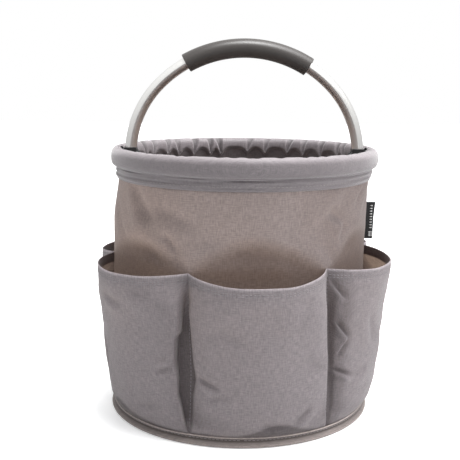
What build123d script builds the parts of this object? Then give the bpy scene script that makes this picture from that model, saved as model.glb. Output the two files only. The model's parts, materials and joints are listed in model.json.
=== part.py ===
"""Round fabric tool bucket with six outer pockets, a ring-stiffened rim and a swinging arch handle.

Millimetres, +Z up. The origin is the centre of the ring of seam binding that the bucket stands on.
The front is towards -Y and the handle's pivots are on the X axis. Angles round the bucket start at
the front (-Y) and grow towards the right (+X).
"""

import os
from math import atan2, cos, degrees, radians, sin

from build123d import *

# ---------------------------------------------------------------- driving dimensions
CLOTH = 1.2  # thickness that stands for one sewn layer of coated polyester
GAP = 0.2  # between neighbouring pieces that are sewn, glued or laid together

WALL_BASE_R = 141.0  # outside of the wall at the floor
WALL_TOP_R = 138.5  # outside of the wall at its upper edge
WALL_BOTTOM_Z = 1.4
WALL_TOP_Z = 268.0

BINDING_H = 12.5
BINDING_R = 145.0
BINDING_TOP_R = 143.8
BINDING_EDGE_R = 0.5

FLOOR_Z = 11.2  # underside of the bottom panel
BOARD_T = 3.2

POCKETS = 6
FIRST_POCKET_DEG = 7.5  # centre of the front pocket
POCKET_EDGE_DEG = 29.3  # from a pocket's centre to its sewn edge
POCKET_TOP_Z = 175.0
# Height of each cross-section, and how far the pocket stands off the wall there.
POCKET_SECTIONS = (
    (WALL_BOTTOM_Z, 0.0),
    (13.0, 0.0),
    (27.0, 7.0),
    (62.0, 15.0),
    (POCKET_TOP_Z, 29.0),
)

RING_R = 141.0  # centreline of the stiffening ring
RING_Z = 282.0
RING_W, RING_H = 9.0, 16.0
RING_WALL = 1.2
CASING_W, CASING_H = 12.2, 19.2
SKIRT_BOTTOM_Z = 259.0
CASING_WINDOW_R = 9.2
CASING_WINDOW_REACH = 138.4

CONNECTOR_HALF = 14.6  # half length of the connector's body along the rim
SPIGOT_HALF = 32.0
SPIGOT_FIT = 0.15
BOSS_R = 7.0
RING_PIN_R = 1.5
RING_PIN_Y = 22.0

HANDLE_HALF_W = 126.2  # pivot plane to tube centre
HANDLE_RISE = 117.0  # pivot to the top of the tube's centreline
LEG_ARC_R = 110.0
TUBE_SIZE = (13.2, 16.8)  # across the arch, and front to back from ridge to ridge
TUBE_RIDGE_R = 0.8
TUBE_WALL = 1.3
TUBE_FIT = 0.1  # between the tube and what slides into it or over it
TUBE_END = 8.5  # above the pivot
GRIP_SIZE = (20.8, 24.0)
GRIP_HALF_DEG = 30.5
GRIP_SHIFT_DEG = 1.3  # the sleeve sits a little off centre
GRIP_EDGE = 0.8

KNUCKLE_R = 8.5
KNUCKLE_INNER_X, KNUCKLE_OUTER_X = 119.4, 133.2
KNUCKLE_EDGE = 0.8
BOSS_END_X = 133.6
SPIGOT_IN_TUBE = 14.0
RIVET_R = 2.5
RIVET_CLEARANCE = 0.05
SIDE_PLAY = 0.4  # between each knuckle and the washer beside it
RIVET_HEAD_R, RIVET_HEAD_T = 4.6, 1.8
RIVET_TAIL_R, RIVET_TAIL_T = 3.6, 1.4
RIVET_TAIL_X = 143.6
WASHER_R, WASHER_T = 6.0, 0.8

LABEL_BOTTOM_Z, LABEL_H = 189.0, 42.0
LABEL_REACH_R = 150.4
LABEL_T = 1.4

SIDES = {"left": -1, "right": 1}


# ---------------------------------------------------------------- worked-out values
def wall_r(z):
    """Outside radius of the wall at height z."""
    share = (z - WALL_BOTTOM_Z) / (WALL_TOP_Z - WALL_BOTTOM_Z)
    return WALL_BASE_R + (WALL_TOP_R - WALL_BASE_R) * share


def around(angle_deg, radius, z=0.0):
    """The point at an angle round the bucket from the front."""
    return Vector(radius * sin(radians(angle_deg)), -radius * cos(radians(angle_deg)), z)


BOARD_Z = FLOOR_Z + CLOTH + GAP
LINING_Z = BOARD_Z + BOARD_T + GAP
CASING_INNER_R = RING_R - CASING_W / 2
TUBE_END_Z = RING_Z + TUBE_END

# The handle is a three-centred arch: two leg arcs and a flatter crown, tangent where they meet.
LEG_CENTRE_X = HANDLE_HALF_W - LEG_ARC_R
CROWN_R = (LEG_CENTRE_X**2 + HANDLE_RISE**2 - LEG_ARC_R**2) / (2 * (HANDLE_RISE - LEG_ARC_R))
CROWN_Z = RING_Z + HANDLE_RISE - CROWN_R
JOIN_DEG = degrees(atan2(RING_Z - CROWN_Z, LEG_CENTRE_X))

os.makedirs("parts", exist_ok=True)


def save(solid, name):
    solid.label = name
    export_step(solid, f"parts/{name}.step")


# ---------------------------------------------------------------- shared shapes
def cone_band(z_low, z_high, outer_offset, thickness):
    """A full ring of cloth that follows the wall's taper, its outside outer_offset from the wall's."""
    with BuildPart() as band:
        with BuildSketch(Plane.XZ):
            with BuildLine():
                Polyline(
                    (wall_r(z_low) + outer_offset - thickness, z_low),
                    (wall_r(z_low) + outer_offset, z_low),
                    (wall_r(z_high) + outer_offset, z_high),
                    (wall_r(z_high) + outer_offset - thickness, z_high),
                    close=True,
                )
            make_face()
        revolve(axis=Axis.Z)
    return band.part


def ring_segment(width, height, half_length, side):
    """A solid flat-oval piece of the rim's ring, within half_length of the X axis on one side."""
    with BuildPart() as segment:
        with BuildSketch(Plane.XZ):
            with Locations((RING_R, RING_Z)):
                SlotOverall(height, width, rotation=90)
        revolve(axis=Axis.Z)
        with Locations((side * RING_R, 0, RING_Z)):
            Box(2 * CASING_W, 2 * half_length, 2 * CASING_H, mode=Mode.INTERSECT)
    return segment.part


def disc(radius, z, thickness):
    """A flat round panel with its underside at z."""
    with BuildPart() as panel:
        with BuildSketch(Plane.XY.offset(z)):
            Circle(radius)
        extrude(amount=thickness)
    return panel


def across(arc, arc_centre):
    """The plane across the start of an arc, its x axis pointing away from arc_centre."""
    start = arc @ 0
    return Plane(start, x_dir=start - arc_centre, z_dir=arc % 0)


def tube_section(inset):
    """The handle tube's section, drawn in by inset: two arcs that meet in a soft ridge, front and back."""
    half_w = TUBE_SIZE[0] / 2 - inset
    half_d = TUBE_SIZE[1] / 2 - inset
    with BuildSketch() as section:
        with BuildLine():
            ThreePointArc((0, -half_d), (half_w, 0), (0, half_d))
            ThreePointArc((0, half_d), (-half_w, 0), (0, -half_d))
        make_face()
        fillet(section.vertices(), TUBE_RIDGE_R)
    return section.sketch


with BuildLine(Plane.XZ) as handle_path:
    CenterArc((LEG_CENTRE_X, RING_Z), LEG_ARC_R, 0, JOIN_DEG)
    CenterArc((0, CROWN_Z), CROWN_R, JOIN_DEG, 180 - 2 * JOIN_DEG)
    CenterArc((-LEG_CENTRE_X, RING_Z), LEG_ARC_R, 180 - JOIN_DEG, JOIN_DEG)

# ---------------------------------------------------------------- wall
wall_cloth = cone_band(WALL_BOTTOM_Z, WALL_TOP_Z, 0, CLOTH)

for wall_name, keep_side in (("wall_front", -1), ("wall_rear", 1)):
    with BuildPart() as wall:
        add(wall_cloth)
        split(
            bisect_by=Plane((0, keep_side * GAP / 2, 0), z_dir=(0, keep_side, 0)),
            keep=Keep.TOP,
        )
    save(wall.part, wall_name)

# A bound seam allowance runs down the inside of each side seam.
SEAM_TAPE_W, SEAM_TAPE_T = 11.0, 1.0
SEAM_TAPE_BOTTOM_Z = LINING_Z + CLOTH + 1.0
SEAM_TAPE_TOP_Z = SKIRT_BOTTOM_Z - 2.0
seam_tape_band = cone_band(SEAM_TAPE_BOTTOM_Z, SEAM_TAPE_TOP_Z, -CLOTH - GAP, SEAM_TAPE_T)

for side_name, side in SIDES.items():
    with BuildPart() as seam_tape:
        add(seam_tape_band)
        with Locations((side * WALL_BASE_R, 0, SEAM_TAPE_BOTTOM_Z)):
            Box(20, SEAM_TAPE_W, 2 * WALL_TOP_Z, mode=Mode.INTERSECT)
    save(seam_tape.part, f"side_seam_tape_{side_name}")

# ---------------------------------------------------------------- rim casing
# A folded strip of cloth: a tube round the ring, and two skirts that grip the wall's upper edge.
SLOT_INNER_R = WALL_TOP_R - CLOTH - 0.3
SLOT_OUTER_R = WALL_TOP_R + 0.4
SKIRT_TOP_Z = RING_Z - RING_H / 2 + 2.0

with BuildPart() as rim_casing:
    with BuildSketch(Plane.XZ):
        with Locations((RING_R, RING_Z)):
            SlotOverall(CASING_H, CASING_W, rotation=90)
        with BuildLine():
            Polyline(
                (SLOT_INNER_R - CLOTH, SKIRT_BOTTOM_Z),
                (SLOT_OUTER_R + CLOTH, SKIRT_BOTTOM_Z),
                (RING_R + CASING_W / 2 - 1.5, SKIRT_TOP_Z),
                (RING_R - CASING_W / 2 + 1.0, SKIRT_TOP_Z),
                close=True,
            )
        make_face()
        with Locations((RING_R, RING_Z)):
            SlotOverall(CASING_H - 2 * CLOTH, CASING_W - 2 * CLOTH, rotation=90, mode=Mode.SUBTRACT)
        with BuildLine():
            Polyline(
                (SLOT_INNER_R, SKIRT_BOTTOM_Z - 1),
                (SLOT_OUTER_R, SKIRT_BOTTOM_Z - 1),
                (SLOT_OUTER_R, WALL_TOP_Z),
                (RING_R + RING_W / 2 - 2.5, SKIRT_TOP_Z + 1),
                (RING_R - RING_W / 2 + 1.5, SKIRT_TOP_Z + 1),
                (SLOT_INNER_R, WALL_TOP_Z),
                close=True,
            )
        make_face(mode=Mode.SUBTRACT)
    revolve(axis=Axis.Z)
    for side in SIDES.values():  # a window inside the rim lets each pivot through
        with BuildSketch(Plane.YZ.offset(side * (RING_R - CASING_W))):
            with Locations((0, RING_Z)):
                Circle(CASING_WINDOW_R)
        extrude(amount=side * (CASING_WINDOW_REACH - RING_R + CASING_W), mode=Mode.SUBTRACT)
save(rim_casing.part, "rim_casing")

# ---------------------------------------------------------------- pockets
CENTRE_DEGS = [FIRST_POCKET_DEG + 360 / POCKETS * k for k in range(POCKETS)]
SEAM_DEGS = [centre - 180 / POCKETS for centre in CENTRE_DEGS]

for number, centre in enumerate(CENTRE_DEGS, start=1):
    left, right = centre - POCKET_EDGE_DEG, centre + POCKET_EDGE_DEG
    with BuildPart() as pocket:
        for z, stand_off in POCKET_SECTIONS:
            inner = wall_r(z) + GAP
            outer = inner + CLOTH
            with BuildSketch(Plane.XY.offset(z)):
                with BuildLine():
                    ThreePointArc(
                        around(left, inner), around(centre, inner + stand_off), around(right, inner)
                    )
                    Line(around(right, inner), around(right, outer))
                    ThreePointArc(
                        around(right, outer), around(centre, outer + stand_off), around(left, outer)
                    )
                    Line(around(left, outer), around(left, inner))
                make_face()
        loft(ruled=True)
    save(pocket.part, f"pocket_{number}")

# Rows of thread hold the pockets to the wall, with a bar tack at the top of each.
THREAD_W, THREAD_T = 1.4, 0.9
TACK_W, TACK_H, TACK_T = 2.0, 9.0, 1.2

with BuildPart() as pocket_stitching:
    thread_bottom = BINDING_H + 1.5
    thread_top = POCKET_TOP_Z - TACK_H - 1.0
    for angle in SEAM_DEGS:
        foot = around(angle, wall_r(thread_bottom) + GAP + THREAD_T / 2, thread_bottom)
        head = around(angle, wall_r(thread_top) + GAP + THREAD_T / 2, thread_top)
        with BuildSketch(Plane(foot, x_dir=around(angle, 1), z_dir=head - foot)):
            Rectangle(THREAD_T, THREAD_W)
        extrude(amount=(head - foot).length)
save(pocket_stitching.part, "pocket_stitching")

with BuildPart() as bar_tacks:
    tack_z = POCKET_TOP_Z - TACK_H
    for angle in SEAM_DEGS:
        foot = around(angle, wall_r(tack_z) + GAP + TACK_T / 2, tack_z)
        with BuildSketch(Plane(foot, x_dir=around(angle, 1), z_dir=(0, 0, 1))):
            RectangleRounded(TACK_T, TACK_W, 0.4)
        extrude(amount=TACK_H)
save(bar_tacks.part, "bar_tacks")

# ---------------------------------------------------------------- base
# The bottom panel's edge is turned down beside the wall's, and the tape binds both.
RIM_OF_PANEL_R = WALL_BASE_R - CLOTH - GAP

with BuildPart() as base_panel:
    with BuildSketch(Plane.XZ):
        with BuildLine():
            Polyline(
                (0, FLOOR_Z),
                (RIM_OF_PANEL_R - CLOTH, FLOOR_Z),
                (RIM_OF_PANEL_R - CLOTH, WALL_BOTTOM_Z),
                (RIM_OF_PANEL_R, WALL_BOTTOM_Z),
                (RIM_OF_PANEL_R, FLOOR_Z + CLOTH),
                (0, FLOOR_Z + CLOTH),
                close=True,
            )
        make_face()
    revolve(axis=Axis.Z)
save(base_panel.part, "base_panel")

base_board = disc(WALL_BASE_R - 4.5, BOARD_Z, BOARD_T)
save(base_board.part, "base_board")

base_lining = disc(WALL_BASE_R - 3.0, LINING_Z, CLOTH)
save(base_lining.part, "base_lining")

BINDING_INNER_R = RIM_OF_PANEL_R - 2 * CLOTH - GAP
BINDING_SLOT_R = WALL_BASE_R + 2 * GAP + CLOTH

with BuildPart() as base_binding:
    with BuildSketch(Plane.XZ):
        with BuildLine():
            Polyline(
                (BINDING_INNER_R, 0),
                (BINDING_R, 0),
                (BINDING_TOP_R, BINDING_H),
                (BINDING_SLOT_R, BINDING_H),
                (BINDING_SLOT_R, WALL_BOTTOM_Z - GAP),
                (BINDING_INNER_R + CLOTH, WALL_BOTTOM_Z - GAP),
                (BINDING_INNER_R + CLOTH, FLOOR_Z - GAP),
                (BINDING_INNER_R, FLOOR_Z - GAP),
                close=True,
            )
        make_face()
    revolve(axis=Axis.Z)
    fillet(base_binding.edges().group_by(Axis.Z)[0], BINDING_EDGE_R)
save(base_binding.part, "base_binding")

# ---------------------------------------------------------------- side label
with BuildPart() as side_label:
    label_root = wall_r(LABEL_BOTTOM_Z) + GAP
    with BuildSketch(Plane.XY.offset(LABEL_BOTTOM_Z)):
        with Locations(((label_root + LABEL_REACH_R) / 2, 0)):
            RectangleRounded(LABEL_REACH_R - label_root, LABEL_T, 0.5)
    extrude(amount=LABEL_H)
save(side_label.part, "side_label")

# ---------------------------------------------------------------- stiffening ring
with BuildPart() as ring_tube:
    with BuildSketch(Plane.XZ):
        with Locations((RING_R, RING_Z)):
            SlotOverall(RING_H, RING_W, rotation=90)
            SlotOverall(RING_H - 2 * RING_WALL, RING_W - 2 * RING_WALL, rotation=90, mode=Mode.SUBTRACT)
    revolve(axis=Axis.Z)
    for side in SIDES.values():  # cross holes for the pins that hold the connectors
        with BuildSketch(Plane.YZ.offset(side * (RING_R - CASING_W))):
            with Locations((-RING_PIN_Y, RING_Z), (RING_PIN_Y, RING_Z)):
                Circle(RING_PIN_R)
        extrude(amount=side * 2 * CASING_W, mode=Mode.SUBTRACT)

for ring_name, keep_side in (("ring_front", -1), ("ring_rear", 1)):
    with BuildPart() as half_ring:
        add(ring_tube.part)
        split(
            bisect_by=Plane((0, keep_side * (CONNECTOR_HALF + GAP), 0), z_dir=(0, keep_side, 0)),
            keep=Keep.TOP,
        )
    save(half_ring.part, ring_name)

# The pins stay inside the oval tube's faces, which slope away from the X axis at the pins.
PIN_MID_X = (RING_R**2 - RING_PIN_Y**2) ** 0.5
PIN_LENGTH = RING_W - 1.2

with BuildPart() as ring_pins:
    for side in SIDES.values():
        with BuildSketch(Plane.YZ.offset(side * (PIN_MID_X - PIN_LENGTH / 2))):
            with Locations((-RING_PIN_Y, RING_Z), (RING_PIN_Y, RING_Z)):
                Circle(RING_PIN_R - 0.05)
        extrude(amount=side * PIN_LENGTH)
save(ring_pins.part, "ring_pins")

# ---------------------------------------------------------------- pivots on the ring
for side_name, side in SIDES.items():
    connector_body = ring_segment(RING_W, RING_H, CONNECTOR_HALF, side)
    bore_w = RING_W - 2 * (RING_WALL + SPIGOT_FIT)
    bore_h = RING_H - 2 * (RING_WALL + SPIGOT_FIT)
    connector_spigots = ring_segment(bore_w, bore_h, SPIGOT_HALF, side)

    with BuildPart() as ring_connector:
        add(connector_body)
        add(connector_spigots)
        with BuildSketch(Plane.YZ.offset(side * BOSS_END_X)):
            with Locations((0, RING_Z)):
                Circle(BOSS_R)
        extrude(amount=side * (RING_R - BOSS_END_X))
        with BuildSketch(Plane.YZ.offset(side * (BOSS_END_X - 1))):
            with Locations((0, RING_Z)):
                Circle(RIVET_R)
            with Locations((-RING_PIN_Y, RING_Z), (RING_PIN_Y, RING_Z)):
                Circle(RING_PIN_R)
        extrude(amount=side * 2 * CASING_W, mode=Mode.SUBTRACT)
        with BuildSketch(Plane.YZ.offset(side * RIVET_TAIL_X)):
            with Locations((0, RING_Z)):
                Circle(RIVET_TAIL_R + 0.1)
        extrude(amount=side * CASING_W, mode=Mode.SUBTRACT)
    save(ring_connector.part, f"ring_connector_{side_name}")

    # A shouldered rivet: its head is inside the handle's knuckle, its tail in the connector.
    with BuildPart() as pivot_rivet:
        head_x = KNUCKLE_INNER_X - SIDE_PLAY - WASHER_T - 0.1
        with BuildSketch(Plane.YZ.offset(side * (head_x - RIVET_HEAD_T))):
            with Locations((0, RING_Z)):
                Circle(RIVET_HEAD_R)
        extrude(amount=side * RIVET_HEAD_T)
        fillet(pivot_rivet.edges().sort_by(Axis.X, reverse=side < 0)[0], RIVET_HEAD_T * 0.6)
        with BuildSketch(Plane.YZ.offset(side * head_x)):
            with Locations((0, RING_Z)):
                Circle(RIVET_R)
        extrude(amount=side * (RIVET_TAIL_X - head_x))
        with BuildSketch(Plane.YZ.offset(side * RIVET_TAIL_X)):
            with Locations((0, RING_Z)):
                Circle(RIVET_TAIL_R)
        extrude(amount=side * RIVET_TAIL_T)
    save(pivot_rivet.part, f"pivot_rivet_{side_name}")

with BuildPart() as pivot_washers:
    for side in SIDES.values():
        with BuildSketch(Plane.YZ.offset(side * (KNUCKLE_INNER_X - SIDE_PLAY - WASHER_T))):
            with Locations((0, RING_Z)):
                Circle(WASHER_R)
                Circle(RIVET_R + RIVET_CLEARANCE, mode=Mode.SUBTRACT)
        extrude(amount=side * WASHER_T)
save(pivot_washers.part, "pivot_washers")

# ---------------------------------------------------------------- handle
LEG_CENTRE = Vector(LEG_CENTRE_X, 0, RING_Z)
CROWN_CENTRE = Vector(0, 0, CROWN_Z)

with BuildPart() as handle_tube:
    with BuildSketch(across(handle_path.line, LEG_CENTRE)):
        add(tube_section(0))
        add(tube_section(TUBE_WALL), mode=Mode.SUBTRACT)
    sweep(path=handle_path.line)
    split(bisect_by=Plane.XY.offset(TUBE_END_Z), keep=Keep.TOP)
save(handle_tube.part, "handle_tube")

with BuildLine(Plane.XZ) as grip_path:
    CenterArc((0, CROWN_Z), CROWN_R, 90 - GRIP_SHIFT_DEG - GRIP_HALF_DEG, 2 * GRIP_HALF_DEG)

with BuildPart() as handle_grip:
    with BuildSketch(across(grip_path.line, CROWN_CENTRE)):
        Ellipse(GRIP_SIZE[0] / 2, GRIP_SIZE[1] / 2)
    sweep(path=grip_path.line)
    fillet(handle_grip.faces().filter_by(GeomType.PLANE).edges(), GRIP_EDGE)
    with BuildSketch(across(grip_path.line, CROWN_CENTRE)):
        add(tube_section(-TUBE_FIT))
    sweep(path=grip_path.line, mode=Mode.SUBTRACT)
save(handle_grip.part, "handle_grip")

# The knuckle's spigot follows the leg's arc, so it is cut from a rod swept along the arch.
with BuildPart() as spigot_rod:
    with BuildSketch(across(handle_path.line, LEG_CENTRE)):
        add(tube_section(TUBE_WALL + TUBE_FIT))
    sweep(path=handle_path.line)
    split(bisect_by=Plane.XY.offset(TUBE_END_Z + SPIGOT_IN_TUBE), keep=Keep.BOTTOM)
    split(bisect_by=Plane.XY.offset(TUBE_END_Z - 1), keep=Keep.TOP)
spigots = spigot_rod.part.solids().sort_by(Axis.X)

for side_name, side in SIDES.items():
    with BuildPart() as handle_socket:
        with BuildSketch(Plane.YZ.offset(side * KNUCKLE_INNER_X)):
            with Locations((0, RING_Z)):
                Circle(KNUCKLE_R)
                Rectangle(2 * KNUCKLE_R, TUBE_END, align=(Align.CENTER, Align.MIN))
        extrude(amount=side * (KNUCKLE_OUTER_X - KNUCKLE_INNER_X))
        fillet(handle_socket.faces().filter_by(Axis.X).edges(), KNUCKLE_EDGE)
        add(spigots[0] if side < 0 else spigots[-1])
        with BuildSketch(Plane.YZ.offset(side * (KNUCKLE_INNER_X - 1))):
            with Locations((0, RING_Z)):
                Circle(RIVET_R + RIVET_CLEARANCE)
        extrude(amount=side * 2 * CASING_W, mode=Mode.SUBTRACT)
    save(handle_socket.part, f"handle_socket_{side_name}")
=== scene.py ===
"""Looks for the round fabric tool bucket: its cloth, tape, thread, metal, nylon and foam.

Metres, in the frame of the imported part. Angles round the bucket start at the front (-Y) and grow
towards the right (+X).
"""

import json
import math

import bpy
import numpy as np
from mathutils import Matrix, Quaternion, Vector


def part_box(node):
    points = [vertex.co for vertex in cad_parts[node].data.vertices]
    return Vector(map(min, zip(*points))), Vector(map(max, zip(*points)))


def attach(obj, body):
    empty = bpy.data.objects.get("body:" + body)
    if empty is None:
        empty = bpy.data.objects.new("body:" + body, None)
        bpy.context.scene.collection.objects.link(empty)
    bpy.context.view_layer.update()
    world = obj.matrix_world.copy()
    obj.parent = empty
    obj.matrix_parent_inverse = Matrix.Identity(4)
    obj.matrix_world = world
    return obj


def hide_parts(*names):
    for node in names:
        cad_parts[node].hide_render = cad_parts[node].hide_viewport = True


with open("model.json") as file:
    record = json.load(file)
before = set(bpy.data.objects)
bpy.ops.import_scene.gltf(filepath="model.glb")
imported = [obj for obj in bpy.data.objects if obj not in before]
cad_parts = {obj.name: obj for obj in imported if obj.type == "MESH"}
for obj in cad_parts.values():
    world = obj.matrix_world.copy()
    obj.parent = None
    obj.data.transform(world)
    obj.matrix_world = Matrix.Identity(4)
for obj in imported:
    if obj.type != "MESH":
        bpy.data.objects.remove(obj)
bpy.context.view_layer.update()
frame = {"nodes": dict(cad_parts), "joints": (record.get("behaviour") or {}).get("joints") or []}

MM = 0.001
RNG = np.random.default_rng(11)

# ---- places, read from the frame
wall_low, wall_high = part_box("wall_front")
pocket_low, pocket_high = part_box("pocket_1")
panel_low, panel_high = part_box("base_panel")
label_low, label_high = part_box("side_label")
ring_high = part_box("ring_rear")[1]
lining_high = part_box("base_lining")[1]
pivot_z = frame["joints"][0]["pos_m"][2]

HALF_CLOTH = 0.6 * MM
WALL_BASE_R = wall_high[0]
WALL_TAPER = 2.5 * MM
POCKET_TOP_Z = pocket_high[2]
POCKETS = 6
FIRST_POCKET_DEG = 7.5
HALF_POCKET_DEG = 180 / POCKETS


def wall_r(z):
    """Radius of the middle of the wall's cloth."""
    return WALL_BASE_R - HALF_CLOTH - WALL_TAPER * np.clip(z / wall_high[2], 0, 1)


def smooth(low, high, value):
    """0 below low, 1 above high, and an S-curve between."""
    t = np.clip((value - low) / (high - low), 0, 1)
    return t * t * (3 - 2 * t)


SETTLE_Z = np.array([0, 40, 80, 120, 175, 215, 262, 274]) * MM
SETTLE_SHIFT = np.array([-3.2, -3.6, -3.8, -3.8, -3.6, -3.4, -0.6, 0.0]) * MM
SETTLE_TWIST = np.radians([1.1, 1.7, 1.9, 1.3, 0.5, 0.2, 0.0, 0.0])


def settle(points):
    """The soft bag leans and twists a little between its base and its rim."""
    x, y, z = points[..., 0], points[..., 1], points[..., 2]
    twist = np.interp(z, SETTLE_Z, SETTLE_TWIST)
    shift = np.interp(z, SETTLE_Z, SETTLE_SHIFT)
    turned_x = x * np.cos(twist) - y * np.sin(twist)
    turned_y = x * np.sin(twist) + y * np.cos(twist)
    return np.stack([turned_x + shift, turned_y, z], axis=-1)


def around_share(degrees):
    """How far round the bucket an angle is, from 0 at the back through 0.5 at the front to 1."""
    return np.mod(degrees + 180, 360) / 360


def polar(degrees, radius, z):
    """Points at angles round the bucket, as an array with x, y, z last."""
    a = np.radians(degrees)
    radius, z, a = np.broadcast_arrays(radius, z, a)
    return np.stack([radius * np.sin(a), -radius * np.cos(a), z], axis=-1)


def value_noise(x, y, seed, period=None):
    """Smooth noise from -1 to 1 on a plane; x repeats every period cells where one is given."""
    xi, yi = np.floor(x).astype(int), np.floor(y).astype(int)
    xf, yf = x - xi, y - yi
    xf, yf = xf * xf * (3 - 2 * xf), yf * yf * (3 - 2 * yf)

    def corner(i, j):
        if period:
            i = np.mod(i, period)
        h = (i * 374761393 + j * 668265263 + seed * 974634777) & 0x7FFFFFFF
        h = ((h ^ (h >> 13)) * 1274126177) & 0x7FFFFFFF
        return ((h ^ (h >> 16)) & 0xFFFF) / 32767.5 - 1

    low = corner(xi, yi) * (1 - xf) + corner(xi + 1, yi) * xf
    high = corner(xi, yi + 1) * (1 - xf) + corner(xi + 1, yi + 1) * xf
    return low * (1 - yf) + high * yf


# ---- mesh helpers
def make_object(name, verts, faces, uvs=None, edge=None, shade=None):
    """A smooth mesh; uvs are in metres of cloth, edge makes folds paler, partly as wear and partly as
    painted highlight, and shade darkens as painted shade.
    """
    mesh = bpy.data.meshes.new(name)
    mesh.from_pydata([tuple(v) for v in np.asarray(verts).reshape(-1, 3)], [], faces)
    mesh.update()
    mesh.shade_smooth()
    if uvs is not None:
        layer = mesh.uv_layers.new(name="cloth")
        index = np.zeros(len(mesh.loops), dtype=np.int32)
        mesh.loops.foreach_get("vertex_index", index)
        layer.data.foreach_set("uv", np.asarray(uvs, dtype=np.float32).reshape(-1, 2)[index].ravel())
    for attribute_name, values in (("edge", edge), ("shade", shade)):
        if values is not None:
            attribute = mesh.attributes.new(attribute_name, "FLOAT", "POINT")
            attribute.data.foreach_set("value", np.asarray(values, dtype=np.float32).ravel())
    obj = bpy.data.objects.new(name, mesh)
    bpy.context.scene.collection.objects.link(obj)
    return obj


def grid_faces(rows, columns, wrap=False, skip=None):
    """Quads of a grid of rows by columns vertices; skip is a mask of quads to leave out."""
    faces = []
    last = columns if wrap else columns - 1
    for i in range(rows - 1):
        for j in range(last):
            if skip is not None and skip[i, j]:
                continue
            k = (j + 1) % columns
            faces.append((i * columns + j, i * columns + k, (i + 1) * columns + k, (i + 1) * columns + j))
    return faces


def grid_uvs(points):
    """Lengths along and across a grid, so that the weave has one scale everywhere."""
    along = np.linalg.norm(np.diff(points, axis=1), axis=-1)
    across = np.linalg.norm(np.diff(points, axis=0), axis=-1)
    u = np.concatenate([np.zeros((points.shape[0], 1)), np.cumsum(along, axis=1)], axis=1)
    u = u - u[:, [u.shape[1] // 2]]
    v = np.concatenate([np.zeros((1, points.shape[1])), np.cumsum(across, axis=0)], axis=0)
    return np.stack([u, v], axis=-1)


def sheet_object(name, points, wrap=False, closed=False, skip=None, edge=None, shade=None):
    """Cloth from a grid of points, joined round the bucket by wrap and into a tube by closed."""
    rows, columns = points.shape[:2]
    faces = grid_faces(rows, columns, wrap, skip)
    if closed:
        last = (rows - 1) * columns
        faces += [(last + j, last + (j + 1) % columns, (j + 1) % columns, j) for j in range(columns)]
    return make_object(name, points, faces, grid_uvs(points), edge, shade)


STITCH_SIDES = 6


def stitches(name, runs, length=2.9 * MM, gap=1.0 * MM, radius=0.26 * MM):
    """Rows of thread. Each run is a dense line of (points, outward normals) on the cloth."""
    verts, faces = [], []
    for line, normals in runs:
        steps = np.linalg.norm(np.diff(line, axis=0), axis=1)
        where = np.concatenate([[0], np.cumsum(steps)])
        start = gap
        while start + length < where[-1]:
            stops = start + length * np.array([0.0, 0.14, 0.5, 0.86, 1.0])
            centre = np.stack([np.interp(stops, where, line[:, c]) for c in range(3)], axis=1)
            up = np.stack([np.interp(stops, where, normals[:, c]) for c in range(3)], axis=1)
            up /= np.linalg.norm(up, axis=1, keepdims=True)
            forward = centre[-1] - centre[0]
            forward = forward / np.linalg.norm(forward)
            side = np.cross(forward, up)
            lift = np.array([-0.9, 0.2, 0.75, 0.2, -0.9]) * radius
            size = np.array([0.45, 1.0, 1.12, 1.0, 0.45]) * radius
            first = len(verts)
            for c, n, s, h, r in zip(centre, up, side, lift, size):
                for k in range(STITCH_SIDES):
                    a = 2 * math.pi * k / STITCH_SIDES
                    verts.append(c + n * (h + r * math.sin(a)) + s * r * 1.15 * math.cos(a))
            for i in range(4):
                for k in range(STITCH_SIDES):
                    n = (k + 1) % STITCH_SIDES
                    a, b = first + i * STITCH_SIDES, first + (i + 1) * STITCH_SIDES
                    faces.append((a + k, a + n, b + n, b + k))
            faces.append(tuple(first + k for k in reversed(range(STITCH_SIDES))))
            faces.append(tuple(first + 4 * STITCH_SIDES + k for k in range(STITCH_SIDES)))
            start += length + gap
    return make_object(name, verts, faces)


def run_on(surface, u, v, step=1e-3):
    """A line of points with outward normals on a surface given as a function of u and v."""
    p = surface(u, v)
    du = surface(u + step, v) - surface(u - step, v)
    dv = surface(u, v + 0.2 * MM) - surface(u, v - 0.2 * MM)
    n = np.cross(du, dv)
    n /= np.linalg.norm(n, axis=-1, keepdims=True)
    return p, n


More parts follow.
